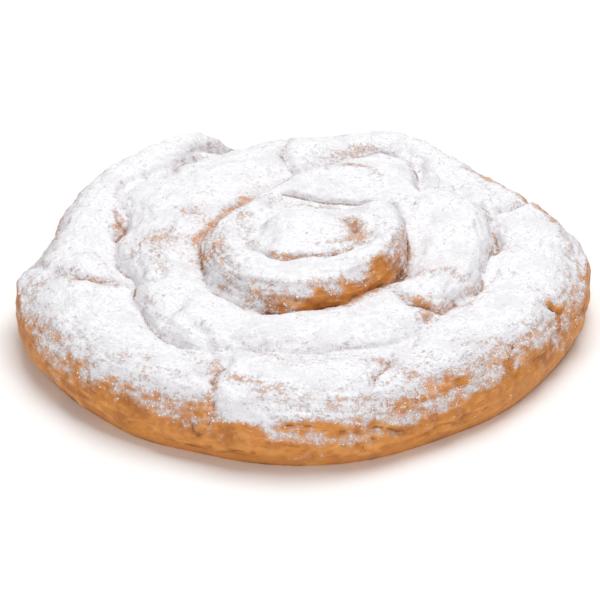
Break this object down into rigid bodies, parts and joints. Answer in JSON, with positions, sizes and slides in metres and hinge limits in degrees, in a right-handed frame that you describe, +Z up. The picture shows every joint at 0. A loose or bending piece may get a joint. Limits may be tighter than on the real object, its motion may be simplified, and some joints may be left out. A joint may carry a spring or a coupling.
{
  "type": "ensaimada",
  "caption": "Round flat coiled pastry: a rope of soft dough wound in a spiral around a raised middle, its top dusted with icing sugar, with a flat underside.",
  "frame": {"origin": "on the surface it rests on, under the middle of its bounding box", "axes": "+Z up; the pictured front faces -Y; +X is to the right of someone looking along +Y; the loose outer end of the rope is at the back left"},
  "size_m": [0.1316, 0.131, 0.0264],
  "materials": {
    "crust": "baked golden brown crust, dusted with white icing sugar on top"
  },
  "bodies": {
    "root": {"ensaimada": "crust"}
  },
  "joints": []
}
